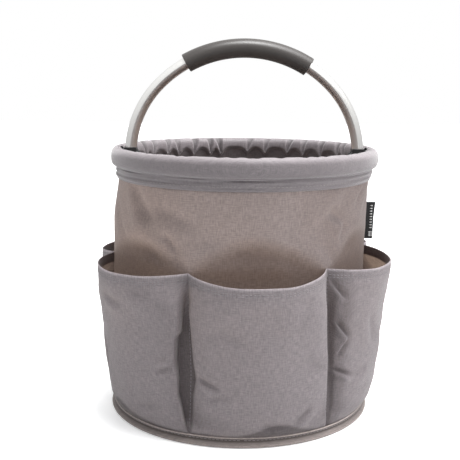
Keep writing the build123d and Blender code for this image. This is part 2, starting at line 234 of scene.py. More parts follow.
# ---- materials
class NodeTree:
    """Short names for the shader nodes that the materials and the world are made of."""

    def __init__(self, tree):
        self.nodes, self.links = tree.nodes, tree.links

    def new(self, kind, **settings):
        node = self.nodes.new(kind)
        for name, value in settings.items():
            setattr(node, name, value)
        return node

    def set(self, socket, value):
        """A number, a colour or another node's output, given to a socket."""
        if isinstance(value, (int, float)):
            socket.default_value = value
        elif isinstance(value, tuple):
            socket.default_value = (*value, 1.0)
        else:
            self.links.new(value, socket)

    def fill(self, node, **values):
        """Values for a node's inputs, with an underscore for each space in an input's name."""
        for name, value in values.items():
            self.set(node.inputs[name.replace("_", " ")], value)

    def attribute(self, name):
        return self.new("ShaderNodeAttribute", attribute_name=name).outputs["Fac"]

    def noise(self, vector, scale, detail=3.0, roughness=0.55):
        node = self.new("ShaderNodeTexNoise")
        self.fill(node, Vector=vector, Scale=scale, Detail=detail, Roughness=roughness)
        return node.outputs["Fac"]

    def mapped(self, vector, scale):
        node = self.new("ShaderNodeMapping")
        node.inputs["Scale"].default_value = scale
        self.fill(node, Vector=vector)
        return node.outputs["Vector"]

    def ranged(self, value, low, high, from_low=0.0, from_high=1.0):
        node = self.new("ShaderNodeMapRange")
        self.fill(node, Value=value, To_Min=low, To_Max=high, From_Min=from_low, From_Max=from_high)
        return node.outputs["Result"]

    def maths(self, operation, a, b):
        node = self.new("ShaderNodeMath", operation=operation)
        self.set(node.inputs[0], a)
        self.set(node.inputs[1], b)
        return node.outputs[0]

    def mixed(self, factor, a, b, blend="MIX"):
        node = self.new("ShaderNodeMix", data_type="RGBA", blend_type=blend)
        for name, value in (("Factor", factor), ("A", a), ("B", b)):
            self.set(next(s for s in node.inputs if s.name == name and s.enabled), value)
        return next(s for s in node.outputs if s.enabled)

    def bump(self, height, strength, distance):
        node = self.new("ShaderNodeBump")
        self.fill(node, Height=height, Strength=strength, Distance=distance)
        return node.outputs["Normal"]


def new_material(name):
    material = bpy.data.materials.new(name)
    material.use_nodes = True
    tree = NodeTree(material.node_tree)
    return material, tree, tree.nodes["Principled BSDF"].inputs


def tinted(colour, factor):
    return tuple(min(1.0, c * factor) for c in colour)


# A wave texture's scale for one yarn per metre, and how painted shade dims the light that comes through.
WAVE_SCALE = 0.314
THROUGH_PAINTED_SHADE = (0.48, 0.45, 0.42)


def cloth_material(name, colour, through=0.0, through_colour=(0.5, 0.36, 0.27), weave=0.55 * MM,
                   bump=1.0, roughness=0.72, sheen=0.15, specular=0.4, painted_shade_tint=(0.44, 0.42, 0.42)):
    """Coated plain weave: yarns, uneven slubs, faint mottling, paler folds that are partly wear and partly
    painted highlight, painted shade, and light coming through.
    """
    material, tree, shader = new_material(name)
    coords = tree.new("ShaderNodeUVMap", uv_map="cloth").outputs["UV"]
    painted_shade = tree.attribute("shade")

    waves = []
    for direction in ("X", "Y"):
        wave = tree.new("ShaderNodeTexWave", bands_direction=direction)
        tree.fill(wave, Vector=coords, Scale=WAVE_SCALE / weave, Distortion=0.6, Detail_Scale=2.0)
        waves.append(wave.outputs["Fac"])
    yarns = tree.maths("MULTIPLY", waves[0], waves[1])
    warp = tree.noise(tree.mapped(coords, (1050, 130, 1)), 1.0, 2.0)
    weft = tree.noise(tree.mapped(coords, (150, 1050, 1)), 1.0, 2.0)
    slubs = tree.maths("ADD", warp, weft)
    mottle = tree.noise(coords, 26.0, 4.0)

    pale = tinted(colour, 1.27)
    base = tree.mixed(tree.ranged(slubs, 0, 1, 0.75, 1.25), tinted(colour, 0.73), pale)
    base = tree.mixed(tree.ranged(mottle, 0, 0.35, 0.35, 0.7), base, tinted(colour, 0.9))
    base = tree.mixed(tree.ranged(yarns, 0, 0.22), base, pale)
    # painted shade: the colour is darkened where the shade attribute is set
    base = tree.mixed(painted_shade, base, painted_shade_tint, "MULTIPLY")
    # paler where the edge attribute is set: partly wear, partly painted highlight
    wear_and_highlight = tree.maths("MULTIPLY", tree.attribute("edge"), tree.ranged(slubs, 0.3, 1, 0.7, 1.3))
    tree.set(shader["Base Color"], tree.mixed(wear_and_highlight, base, tinted(colour, 2.1)))
    tree.set(shader["Roughness"], tree.ranged(slubs, roughness - 0.08, roughness + 0.08, 0.7, 1.3))
    shader["Specular IOR Level"].default_value = specular
    shader["Sheen Weight"].default_value = sheen
    shader["Sheen Roughness"].default_value = 0.4

    relief = tree.maths("ADD", tree.maths("MULTIPLY", yarns, 0.7), slubs)
    normal = tree.bump(relief, 0.5 * bump, 0.12 * MM)
    tree.set(shader["Normal"], normal)

    if through:
        open_weave = tree.ranged(slubs, 0, 1, 0.8, 1.2)
        lit = tree.mixed(open_weave, tinted(through_colour, 0.84), tinted(through_colour, 1.15))
        glow = tree.new("ShaderNodeBsdfTranslucent")
        # painted shade dims the light that comes through as well
        tree.set(glow.inputs["Color"], tree.mixed(painted_shade, lit, THROUGH_PAINTED_SHADE, "MULTIPLY"))
        tree.set(glow.inputs["Normal"], normal)
        mix = tree.new("ShaderNodeMixShader")
        mix.inputs["Fac"].default_value = through
        tree.set(mix.inputs[1], tree.nodes["Principled BSDF"].outputs["BSDF"])
        tree.set(mix.inputs[2], glow.outputs["BSDF"])
        tree.set(tree.nodes["Material Output"].inputs["Surface"], mix.outputs["Shader"])
    return material


def solid_material(name, colour, roughness, metallic=0.0, grain=(400, 400, 400), vary=0.06, bump=0.2,
                   depth=0.05 * MM, specular=0.5):
    """Metal, nylon, thread or foam, with a fine grain in its colour, roughness and surface."""
    material, tree, shader = new_material(name)
    where = tree.new("ShaderNodeTexCoord").outputs["Object"]
    fine = tree.noise(tree.mapped(where, grain), 1.0, 4.0, 0.6)
    broad = tree.noise(where, 22.0, 3.0)
    blend = tree.maths("ADD", tree.maths("MULTIPLY", fine, 0.6), tree.maths("MULTIPLY", broad, 0.4))
    spread = tree.ranged(blend, 0, 1, 0.35, 0.65)
    tree.set(shader["Base Color"], tree.mixed(spread, tinted(colour, 1 - vary), tinted(colour, 1 + vary)))
    tree.set(shader["Roughness"], tree.ranged(blend, roughness - 0.06, roughness + 0.06, 0.35, 0.65))
    shader["Metallic"].default_value = metallic
    shader["Specular IOR Level"].default_value = specular
    if bump:
        tree.set(shader["Normal"], tree.bump(fine, bump, depth))
    return material


TAUPE = (0.177, 0.158, 0.166)
# painted shade: the casing is the same taupe cloth, made darker for the dimmer light on the rim
SHADED_TAUPE = (0.120, 0.106, 0.112)
# painted light: warmer than the pockets' taupe, for warm light coming through the wall's single layer; the
# base floor's cloth uses it too
WARM_TAUPE = (0.166, 0.145, 0.147)
cloth_wall = cloth_material("wall cloth", WARM_TAUPE, through=0.34, through_colour=(0.44, 0.33, 0.275),
                            painted_shade_tint=(0.73, 0.61, 0.53))
cloth_pocket = cloth_material("pocket cloth", TAUPE, through=0.22, through_colour=(0.36, 0.26, 0.20))
cloth_casing = cloth_material("casing cloth", SHADED_TAUPE, roughness=0.50, sheen=0.35, specular=0.5)
cloth_floor = cloth_material("floor cloth", WARM_TAUPE, bump=0.6, roughness=0.75)
tape = cloth_material("binding tape", (0.175, 0.150, 0.142), weave=1.1 * MM, bump=1.6, roughness=0.8)
label_cloth = cloth_material("label cloth", (0.016, 0.016, 0.017), weave=0.45 * MM, roughness=0.5)
thread = solid_material("thread", (0.19, 0.17, 0.172), 0.6, grain=(2500, 2500, 900), vary=0.15, bump=0.5)
pale_thread = solid_material("pale thread", (0.55, 0.55, 0.55), 0.6, grain=(2500, 2500, 900), vary=0.1)
tube_metal = solid_material("satin aluminium", (0.80, 0.795, 0.78), 0.34, metallic=1.0,
                            grain=(300, 300, 300), vary=0.02, bump=0.0)
ring_metal = solid_material("mill aluminium", (0.72, 0.72, 0.73), 0.42, metallic=1.0, vary=0.05)
steel = solid_material("plated steel", (0.60, 0.60, 0.61), 0.28, metallic=1.0, vary=0.05)
black_steel = solid_material("blackened steel", (0.030, 0.030, 0.032), 0.38, metallic=0.6, vary=0.1)
nylon = solid_material("black nylon", (0.018, 0.018, 0.019), 0.42, grain=(900, 900, 900), vary=0.15)
foam = solid_material("grip foam", (0.033, 0.028, 0.0255), 0.40, grain=(1300, 1300, 1300), vary=0.12,
                      bump=0.12, specular=0.6)
board_plastic = solid_material("board", (0.05, 0.05, 0.05), 0.6, vary=0.1)


def dress(obj, material, body="bag", stands_for=()):
    """Gives a new piece its material and body, and hides the CAD nodes that it stands for."""
    obj.data.materials.clear()
    obj.data.materials.append(material)
    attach(obj, body)
    if stands_for:
        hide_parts(*stands_for)
    return obj


def repaint(material, *nodes):
    """Gives CAD nodes that stay a better material."""
    for node in nodes:
        materials = frame["nodes"][node].data.materials
        materials.clear()
        materials.append(material)


# ---- wall
def crease(s, z, start, end, depth, width):
    """A pinched fold in the cloth from start to end, with a ridge along one side, in metres."""
    (s0, z0), (s1, z1) = start, end
    ds, dz = s1 - s0, z1 - z0
    length = math.hypot(ds, dz)
    t = ((s - s0) * ds + (z - z0) * dz) / length**2
    d = ((s - s0) * dz - (z - z0) * ds) / length
    fade = smooth(-0.12, 0.28, t) * (1 - smooth(0.62, 1.15, t))
    valley = np.exp(-((d / width) ** 2))
    ridge = np.exp(-(((d - 1.9 * width) / (1.3 * width)) ** 2))
    return depth * fade * (0.75 * ridge - valley)


WALL_CREASE_DEPTH = 1.9 * MM
WALL_CREASES = (
    # start (degrees, millimetres up), end, depth as a share of WALL_CREASE_DEPTH, width in millimetres
    ((-58, 262), (-40, 222), 1.3, 8),
    ((-74, 240), (-62, 196), 0.9, 7),
    ((-40, 240), (-18, 224), 1.0, 8),
    ((-36, 206), (-22, 176), 1.3, 7),
    ((18, 200), (24, 178), 0.8, 8),
    ((70, 262), (58, 238), 1.3, 4),
    ((84, 258), (66, 226), 1.3, 5),
    ((52, 250), (30, 212), 1.0, 9),
    ((-20, 214), (14, 196), 0.9, 12),
    ((34, 208), (44, 180), 1.1, 8),
    ((-50, 200), (-30, 182), 1.1, 9),
    ((-54, 238), (-42, 226), 0.8, 8),
    ((-34, 214), (-27, 194), 1.4, 4),
    ((38, 238), (50, 222), 1.5, 5),
    ((50, 222), (46, 204), 1.2, 5),
    ((130, 258), (118, 206), 1.3, 7),
    ((165, 262), (178, 215), 1.2, 8),
    ((205, 255), (196, 212), 1.0, 7),
    ((236, 262), (247, 214), 1.4, 7),
)


def pocket_share(degrees):
    """0 behind the middle of a pocket, and 1 or -1 at its seams."""
    past_seam = np.mod(degrees - FIRST_POCKET_DEG + HALF_POCKET_DEG, 2 * HALF_POCKET_DEG)
    return past_seam / HALF_POCKET_DEG - 1


# The hollow's arch: its height at the seams and its rise behind each pocket, in millimetres.
ARCH_FOOT = 176.0
ARCH_RISE = np.array([34.0, 26.0, 30.0, 36.0, 27.0, 31.0])


def under_arch(degrees, z):
    """1 where the wall hollows in behind a pocket, under an arch from one pocket seam to the next."""
    around = around_share(degrees)
    past_rear_seam = degrees + 180 - FIRST_POCKET_DEG - HALF_POCKET_DEG
    which = np.mod(np.floor(past_rear_seam / (2 * HALF_POCKET_DEG)), POCKETS).astype(int)
    arch = ARCH_FOOT + ARCH_RISE[which] * (1 - pocket_share(degrees) ** 2)
    arch = arch + 4 * value_noise(around * 18, 0 * z, 13, 18)
    return 1 - smooth(arch - 12, arch + 10, z / MM)


def wall_surface(degrees, z):
    """The wall's cloth, drawn in under the rim and softly dented."""
    around = around_share(degrees)
    free = smooth(166, 184, z / MM) * (1 - smooth(255, 266, z / MM))
    dents = 2.5 * value_noise(around * 14, z / (62 * MM), 3, 14)
    dents += 1.2 * value_noise(around * 34, z / (30 * MM), 5, 34)
    dents += 0.35 * value_noise(around * 120, z / (55 * MM), 8, 120) * smooth(225, 262, z / MM)
    shift = dents * free * MM
    for (a0, z0), (a1, z1), depth, width in WALL_CREASES:
        delta = np.mod(degrees - a0 + 180, 360) - 180
        s = np.radians(delta) * WALL_BASE_R
        s1 = math.radians(a1 - a0) * WALL_BASE_R
        ends = (0.0, z0 * MM), (s1, z1 * MM)
        shift = shift + free * crease(s, z, *ends, depth * WALL_CREASE_DEPTH, width * MM)
    under = under_arch(degrees, z)
    hollow = -7.0 * MM * (1 - pocket_share(degrees) ** 2) * smooth(20, 70, z / MM) * under
    # the sides are pulled taut by the handle's pivots, so they stay full
    sine = np.sin(np.radians(degrees))
    side = np.abs(sine) ** 8
    height = smooth(60, 150, z / MM) * (1 - smooth(215, 258, z / MM))
    fuller = np.where(sine < 0, 3.0, 1.0) * MM * side * height
    return settle(polar(degrees, wall_r(z) + (shift + hollow) * (1 - 0.85 * side) + fuller, z))


wall_z = np.concatenate([
    np.linspace(wall_low[2], 170 * MM, 42),
    np.linspace(170 * MM, wall_high[2], 78)[1:],
])[:, None]
PANELS = {"wall_front": (-90, 90), "wall_rear": (90, 270)}
for wall_name, (first, last) in PANELS.items():
    angles = np.linspace(first, last, 241)[None, :]
    # painted shade: darker under each pocket's arch, most behind its middle, and towards the wall's sides
    painted_shade = 0.85 * under_arch(angles, wall_z) * (0.55 + 0.45 * (1 - pocket_share(angles) ** 2))
    painted_shade = np.maximum(painted_shade, 0.30 * smooth(0.25, 0.75, np.abs(np.sin(np.radians(angles)))))
    panel = sheet_object(f"cloth_{wall_name}", wall_surface(angles, wall_z), shade=painted_shade)
    dress(panel, cloth_wall, stands_for=(wall_name,))

# ---- pockets
# How far a pocket stands off the wall at each height.
STANDOFF_Z = np.array([0, 9, 11, 14, 20, 38, 61, 88, 122, 142, 160, 175]) * MM
STANDOFF = np.array([0, 0.2, 1.8, 4.6, 8.2, 12.8, 16.2, 19.6, 23.6, 27.0, 29.6, 30.6]) * MM
# Where the control points of a rounded section lie, as shares of half the pocket's width.
ARC_AT = np.array([0.0, 0.22, 0.42, 0.58, 0.70, 0.79, 0.86, 0.91, 0.945, 0.97, 0.99, 1.0])
# How far the pocket's cloth lies off the wall's where it is sewn down.
SEAM_LIFT = 1.1 * MM

# How far the recess beside a seam opens at each height, as a share of its widest.
RECESS_Z = np.array([0, 10, 32, 54, 70, 88, 104, 114, 119, 130, 144, 156, 168]) * MM
STEPPED = np.array([0, 0.0, 0.52, 0.90, 0.86, 1.0, 0.90, 0.82, 0.52, 0.42, 0.30, 0.10, 0.0])
WEDGE = np.array([0, 0.0, 1.0, 0.85, 0.62, 0.45, 0.36, 0.30, 0.28, 0.24, 0.18, 0.08, 0.0])
NOTCHED = np.array([0, 0.0, 0.42, 0.50, 1.0, 0.62, 0.50, 0.46, 0.44, 0.34, 0.24, 0.10, 0.0])
EVEN = np.array([0, 0.0, 0.62, 0.92, 1.0, 0.98, 0.84, 0.72, 0.66, 0.50, 0.34, 0.14, 0.0])
STRAIGHT = np.array([0, 0.0, 0.46, 0.54, 0.61, 0.69, 0.76, 0.80, 0.82, 0.87, 0.93, 0.97, 1.0])

# The hem's height at a seam and at the middle of each pocket, and how it climbs to the right.
HEM_TIP = 2.6 * MM
HEM_MIDDLE = np.array([-4.2, -1.6, -2.0, -3.0, -2.4, -0.6]) * MM
HEM_SLOPE = 0.013
# Painted shade at the foot of each pocket, standing in for the shade where it tucks under: share of half
# width, spread and extra height.
TUCKS = (
    (0.22, 0.34, 12.0), (0.5, 0.3, 9.0), (-0.2, 0.4, 9.0),
    (0.3, 0.4, 9.0), (0.0, 0.4, 9.0), (-0.2, 0.38, 14.0),
)
# How much painted shade darkens the cloth where it turns in to the left and to the right seam.
FLANKS = ((0.10, 0.0), (0.9, 0.2), (0.3, 0.2), (0.3, 0.2), (0.3, 0.2), (0.15, 0.25))
# How far each pocket swells out, as a share of STANDOFF.
POCKET_FULLNESS = (1.0, 1.0, 1.0, 1.0, 0.82, 1.0)

# Each pocket's two sides: the recess beside the seam and its profile, the overhang of its fold, how
# full its corner is, and how softly it swells instead of folding.
SIDES = (
    ((9.0, NOTCHED, 0.0, 0.50, 0.35), (14.0, STRAIGHT, 1.5, 0.56, 0.0)),
    ((7.0, WEDGE, 0.0, 0.40, 0.55), (11.0, EVEN, 3.0, 0.62, 0.1)),
    ((8.0, NOTCHED, 1.0, 0.55, 0.3), (12.0, STEPPED, 3.5, 0.72, 0.0)),
    ((12.0, EVEN, 3.0, 0.66, 0.1), (8.0, WEDGE, 2.0, 0.55, 0.3)),
    ((9.0, STEPPED, 2.5, 0.60, 0.1), (9.0, EVEN, 3.0, 0.62, 0.2)),
    ((8.0, EVEN, 2.0, 0.50, 0.2), (15.0, STEPPED, 4.5, 0.74, 0.0)),
)

# Pinched folds: pocket, start (share of half width, height), end, depth, width, in millimetres.
POCKET_CREASES = (
    (0, (-0.86, 74), (-0.55, 64), 2.4, 2.6),
    (0, (-0.72, 52), (-0.40, 58), 1.2, 4.0),
    (0, (-0.06, 24), (0.44, 22), 2.6, 4.5),
    (0, (0.42, 24), (0.64, 42), 2.2, 3.6),
    (0, (0.52, 160), (0.40, 120), 0.9, 7.0),
    (0, (0.86, 78), (0.50, 92), 1.2, 5.0),
    (0, (-0.55, 128), (-0.25, 112), 0.9, 7.0),
    (1, (-0.97, 166), (-0.80, 146), 4.6, 2.7),
    (1, (-0.92, 126), (-0.72, 104), 4.4, 3.0),
    (1, (-0.72, 104), (-0.90, 84), 3.0, 2.8),
    (1, (-0.97, 74), (-0.64, 62), 4.6, 2.7),
    (1, (-0.62, 60), (-0.30, 66), 1.3, 5.0),
    (1, (-0.40, 128), (-0.20, 90), 1.6, 6.0),
    (1, (0.05, 112), (0.30, 60), 1.5, 6.0),
    (2, (-0.75, 80), (-0.35, 64), 1.8, 4.0),
    (2, (0.70, 120), (0.30, 96), 1.3, 6.0),
    (3, (-0.78, 74), (-0.40, 60), 1.9, 4.0),
    (3, (0.60, 150), (0.45, 110), 1.1, 6.0),
    (4, (0.78, 78), (0.36, 66), 1.9, 4.0),
    (4, (-0.62, 130), (-0.36, 92), 1.2, 6.0),
    (5, (0.84, 84), (0.58, 76), 1.8, 3.2),
    (5, (0.30, 160), (0.62, 150), 1.1, 5.0),
    (5, (-0.20, 148), (0.16, 140), 1.4, 5.0),
    (5, (-0.50, 96), (-0.62, 46), 1.9, 5.0),
    (5, (0.20, 30), (0.62, 40), 1.4, 5.0),
)


def bspline_basis(t, count):
    """Weights of count control points of a clamped cubic B-spline at t from 0 to 1."""
    knots = np.concatenate([np.zeros(3), np.linspace(0, 1, count - 2), np.ones(3)])
    t = np.clip(t, 0, 1 - 1e-9)
    basis = [((t >= knots[i]) & (t < knots[i + 1])).astype(float) for i in range(len(knots) - 1)]
    for degree in (1, 2, 3):
        rising = []
        for i in range(len(basis) - 1):
            left = knots[i + degree] - knots[i]
            right = knots[i + degree + 1] - knots[i + 1]
            value = 0
            if left > 0:
                value = value + (t - knots[i]) / left * basis[i]
            if right > 0:
                value = value + (knots[i + degree + 1] - t) / right * basis[i + 1]
            rising.append(value + np.zeros_like(t))
        basis = rising
    return np.stack(basis, axis=-1)


def half_section(standoff, recess, overhang, full, arc, half):
    """Control points from a pocket's middle to its seam: how far along the wall and how far off it."""
    foot = half - recess
    crest = foot + overhang
    along = [0.0 * half, 0.22 * half, 0.42 * half, 0.60 * crest, 0.82 * crest, crest - 6 * MM,
             crest - 0.8 * MM, crest + 0.2 * MM, crest - 0.7 * MM, foot + 0.1 * recess,
             foot + 0.35 * recess, half + 0 * crest]
    out = [1.0, 0.99, 0.94, 0.87, 0.5 + 0.5 * full, full + 0.10, full + 0.02, full * 0.86, full * 0.42,
           0.03, 0.0, 0.0]
    box_along = np.stack(np.broadcast_arrays(*along), axis=-1)
    box_out = np.stack([o * standoff for o in out], axis=-1)
    arc_along = np.multiply.outer(half + 0 * crest, ARC_AT)
    arc_out = np.multiply.outer(standoff, 1 - ARC_AT**2.4)
    mixed = arc[..., None]
    return box_along * (1 - mixed) + arc_along * mixed, box_out * (1 - mixed) + arc_out * mixed


def pocket_shape(index):
    """A pocket's outside and its painted shade, as two functions of u (0 to 1 across it) and height."""
    centre = FIRST_POCKET_DEG + 2 * HALF_POCKET_DEG * index

    def laid_out(u, z):
        """How far along and off the wall each point lies, half the pocket's width, and the pinches."""
        half = (wall_r(z) + HALF_CLOTH) * math.radians(HALF_POCKET_DEG)
        standoff = np.interp(z, STANDOFF_Z, STANDOFF)
        top = smooth(136, 170, z / MM)
        halves = []
        for side, (recess, profile, overhang, full, softness) in zip((-1, 1), SIDES[index]):
            opening = np.interp(z, RECESS_Z, profile)
            folded_over = overhang * MM * np.clip(opening * 1.6, 0, 1)
            arc = 1 - (1 - top) * (1 - softness)
            along, out = half_section(standoff, recess * MM * opening, folded_over, full, arc, half)
            halves.append((side * along, out))
        (left_along, left_out), (right_along, right_out) = halves
        along = np.concatenate([left_along[..., ::-1], right_along[..., 1:]], axis=-1)
        out = np.concatenate([left_out[..., ::-1], right_out[..., 1:]], axis=-1)
        weights = bspline_basis(u, along.shape[-1])
        s = (weights * along).sum(axis=-1)
        n = (weights * out).sum(axis=-1) * POCKET_FULLNESS[index]

        share = np.clip(np.abs(s / half), 0, 1)
        free = (1 - share**10) * smooth(8, 24, z / MM)
        face = free * (1 - smooth(0.72, 0.86, share))
        dents = 1.1 * value_noise(s / (38 * MM) + 9 * index, z / (46 * MM), 31)
        dents += 0.5 * value_noise(s / (16 * MM) + 5 * index, z / (21 * MM), 37)
        n = n + dents * MM * face * (1 - 0.6 * smooth(158, 168, z / MM))
        pinched = np.zeros_like(n)
        mean_half = float(np.mean(half))
        for which, (start, z0), (end, z1), depth, width in POCKET_CREASES:
            if which == index:
                ends = (start * mean_half, z0 * MM), (end * mean_half, z1 * MM)
                fold = free * crease(s, z, *ends, depth * MM, width * MM)
                n = n + fold
                pinched = np.maximum(pinched, np.clip(-fold / (4.5 * MM), 0, 1))
        return s, n, half, pinched

    def surface(u, z, inset=0.0):
        u, z = np.broadcast_arrays(np.asarray(u, float), np.asarray(z, float))
        radius = wall_r(z) + HALF_CLOTH
        s, n, half, _ = laid_out(u, z)
        share = np.clip(np.abs(s / half), 0, 1)
        # the hem dips between the seams and is a little uneven
        hem = smooth(120, 172, z / MM)
        climb = np.interp(share, [0.0, 0.28, 0.42, 1.0], [0.0, 0.01, 0.11, 1.0])
        dip = HEM_MIDDLE[index] + (HEM_TIP - HEM_MIDDLE[index]) * climb
        dip = dip + 0.7 * MM * value_noise(s / (24 * MM), 0 * s + index, 41) * (1 - share)
        where = centre + np.degrees(s / radius)
        dip = dip + HEM_SLOPE * radius * np.sin(np.radians(where))
        return settle(polar(where, radius + SEAM_LIFT + n - inset, z + dip * hem))

    def painted_shade_at(u, z):
        """Painted shade: 1 where the cloth lies against the wall, beside a seam or at the foot; less on
        its flanks and in its pinched folds.
        """
        u, z = np.broadcast_arrays(np.asarray(u, float), np.asarray(z, float))
        s, off, half, pinched = laid_out(u, z)
        share = s / half
        beside = (1 - smooth(2.0, 10.0, off / MM)) * (1 - smooth(120, 160, z / MM))
        beside = beside * smooth(12, 30, z / MM)
        middle, width, height = TUCKS[index]
        tuck = 13 + height * np.exp(-(((share - middle) / width) ** 2))
        tuck = tuck + 2.5 * value_noise(s / (30 * MM) + 3 * index, 0 * z + 2.5, 91)
        foot = (1 - smooth(tuck - 2.5, tuck + 2.5, z / MM)) * (1 - np.clip(np.abs(share), 0, 1) ** 8)
        left, right = FLANKS[index]
        flank = left * (1 - smooth(-0.98, -0.64, share)) + right * smooth(0.60, 0.98, share)
        flank = flank * (1 - 0.5 * smooth(130, 172, z / MM))
        flank = flank * (1 + 0.25 * value_noise(share * 9, z / (24 * MM), 97))
        return np.maximum(np.maximum(beside, foot), flank + 0.8 * pinched)

    return surface, painted_shade_at


# The hem folds over at HEM_Z and ends HEM_DEPTH below it, inside.
HEM_Z = POCKET_TOP_Z - 1.2 * MM
HEM_FOLD_R = 1.1 * MM
HEM_DEPTH = 9.6 * MM
HEM_INSET = 1.5 * MM
HEM_STITCHES = (6.2 * MM, 8.6 * MM)
SEAM_U = 0.004

pocket_u = np.linspace(0, 1, 133)[None, :]
pocket_z = np.concatenate([
    np.linspace(pocket_low[2] + HALF_CLOTH, 30 * MM, 18),
    np.linspace(30 * MM, HEM_Z, 84)[1:],
])[:, None]
hem_turn = np.radians(np.linspace(30, 180, 6))
hem_inside_z = np.linspace(HEM_Z - 1.0 * MM, HEM_Z - HEM_DEPTH, 7)
pockets = [pocket_shape(k) for k in range(POCKETS)]

for index, (surface, painted_shade_at) in enumerate(pockets):
    rows = [surface(pocket_u, pocket_z)]
    for a in hem_turn:
        inset = HEM_FOLD_R * (1 - np.cos(a)) / 1.35
        rows.append(surface(pocket_u, HEM_Z + HEM_FOLD_R * np.sin(a), inset))
    for z in hem_inside_z:
        rows.append(surface(pocket_u, z, HEM_INSET))
    points = np.concatenate(rows)
    # paler along the hem's fold, partly wear and partly painted highlight; painted shade on the pocket's
    # face and inside the hem
    edge = np.zeros(points.shape[:2])
    edge[len(pocket_z) - 1 : len(pocket_z) + 4] = 0.9
    painted_shade = np.zeros(points.shape[:2])
    painted_shade[: len(pocket_z)] = 0.9 * painted_shade_at(pocket_u, pocket_z)
    painted_shade[len(pocket_z) + 5 :] = 0.5
    pocket = sheet_object(f"cloth_pocket_{index + 1}", points, edge=edge, shade=painted_shade)
    dress(pocket, cloth_pocket, stands_for=(f"pocket_{index + 1}",))

hem_runs, seam_runs = [], []
across = np.linspace(0.015, 0.985, 400)
up = np.linspace(12 * MM, POCKET_TOP_Z - 9 * MM, 300)
for surface, _ in pockets:
    for below in HEM_STITCHES:
        hem_runs.append(run_on(surface, across, np.full_like(across, POCKET_TOP_Z - below)))
    seam_runs.append(run_on(surface, np.full_like(up, SEAM_U), up))
hem_thread = stitches("pocket_hem_stitching", hem_runs)
dress(hem_thread, thread)
seam_thread = stitches("pocket_seam_stitching", seam_runs)
dress(seam_thread, thread, stands_for=("pocket_stitching",))

# A bar tack is short rows of thread across the top of a seam.
TACK_ROWS = 7
tack_runs = []
bar = np.linspace(-1.2, 1.2, 12)[:, None] * MM
for surface, _ in pockets:
    for k in range(TACK_ROWS):
        z = POCKET_TOP_Z - (1.6 + 1.05 * k) * MM
        p, n = run_on(surface, np.array([SEAM_U]), np.array([z]))
        tangent = np.cross([0, 0, 1.0], n[0])
        tack_runs.append((p + tangent * bar, np.repeat(n, len(bar), axis=0)))
tacks = stitches("bar_tack_stitching", tack_runs, length=2.0 * MM, gap=0.2 * MM, radius=0.36 * MM)
dress(tacks, thread, stands_for=("bar_tacks",))

# ---- rim casing
RING_R = ring_high[0] - 4.5 * MM
# The gathers inside the rim: their angles, lean, depth, and how low their puffs hang.
GATHERS = np.cumsum(RNG.uniform(0.4, 1.6, 41))
GATHERS = GATHERS / GATHERS[-1] * 360
GATHER_LEAN = RNG.uniform(-1.7, 1.7, len(GATHERS))
GATHER_DEPTH = RNG.uniform(0.55, 1.0, len(GATHERS))
GATHER_DROP = RNG.uniform(6.5, 11.0, len(GATHERS))

# The casing's section from the inner stitch line, up and over the ring, to the outer edge.
SECTION = np.array([
    # off the ring's centreline, above it, share of gathers
    (-3.2, -22.6, 0.0), (-3.4, -19.0, 0.1), (-4.2, -14.5, 0.5), (-5.8, -9.5, 0.9),
    (-6.6, -4.0, 1.0), (-6.4, 2.0, 1.0), (-5.6, 6.6, 1.0), (-3.2, 9.7, 0.75), (0.4, 10.5, 0.3),
    (3.9, 9.5, 0.06), (6.2, 5.7, 0.0), (6.6, 0.0, 0.0), (6.4, -5.0, 0.0), (4.8, -8.6, 0.0),
    (1.2, -10.6, 0.0), (0.2, -12.6, 0.0), (1.0, -16.5, 0.0), (0.2, -21.4, 0.0), (-0.8, -23.4, 0.0),
    (-1.5, -23.2, 0.0),
])


def casing_section(v):
    """The casing's section at v: off the ring, above it, and the share of gathers."""
    weights = bspline_basis(v, len(SECTION))
    return tuple((weights * SECTION[:, c]).sum(axis=-1) for c in range(3))


def gathers(degrees, height):
    """The pinches, the folds beside them, and the height of the puffs' lower edge."""
    pinch, fold, low = np.zeros_like(height), np.zeros_like(height), np.zeros_like(height)
    for at, lean, depth, drop in zip(GATHERS, GATHER_LEAN, GATHER_DEPTH, GATHER_DROP):
        opened = np.clip((height + drop) / (drop + 8), 0, 1)
        width = 0.2 + 1.5 * opened
        away = np.mod(degrees - at + 180, 360) - 180
        d = np.abs(away - lean * opened)
        valley = np.exp(-((d / width) ** 2.4)) * smooth(0, 0.15, opened)
        ridge = np.exp(-(((d - 1.3 * width) / 0.45) ** 2)) * smooth(0, 0.1, opened)
        pinch = np.maximum(pinch, depth * valley)
        fold = np.maximum(fold, depth * ridge)
        low = np.maximum(low, drop * np.exp(-(np.abs(away / 2.1) ** 1.5)))
    return pinch, fold, -1.0 - low


def casing_surface(degrees, v):
    """The casing as a function of angle and v, from 0 at its inner stitches to 1 at its outer edge."""
    degrees, v = np.broadcast_arrays(np.asarray(degrees, float), np.asarray(v, float))
    off, height, gathered = casing_section(v)
    around = around_share(degrees)
    pinch, fold, puff_z = gathers(degrees, height)
    room = np.abs(np.cos(np.radians(degrees))) ** 1.4
    puffed = smooth(puff_z - 4.0, puff_z + 1.5, height)
    swell = gathered * (0.5 + 3.9 * room) * puffed
    tucked = gathered * (1 - puffed) * 1.2 * room
    dent = gathered * (pinch * (1.4 + 3.4 * room) - fold * room * (1 - pinch))
    wobble = (0.55 + 0.55 * value_noise(around * 26, v * 5, 51, 26)) * smooth(0.42, 0.55, v)
    ripples = 1.3 * value_noise(around * 18, v * 26, 53, 18)
    ripples = ripples * smooth(0.68, 0.78, v) * (1 - smooth(0.9, 1, v))
    tilt = np.clip(off / 6, -1, 1)
    radial = off - swell + tucked + dent + wobble * np.clip(tilt, 0, 1) + ripples
    up = height - gathered * pinch * 2.4 * np.clip((height + 2) / 10, 0, 1) + 0.35 * wobble
    return polar(degrees, RING_R + radial * MM, pivot_z + up * MM)


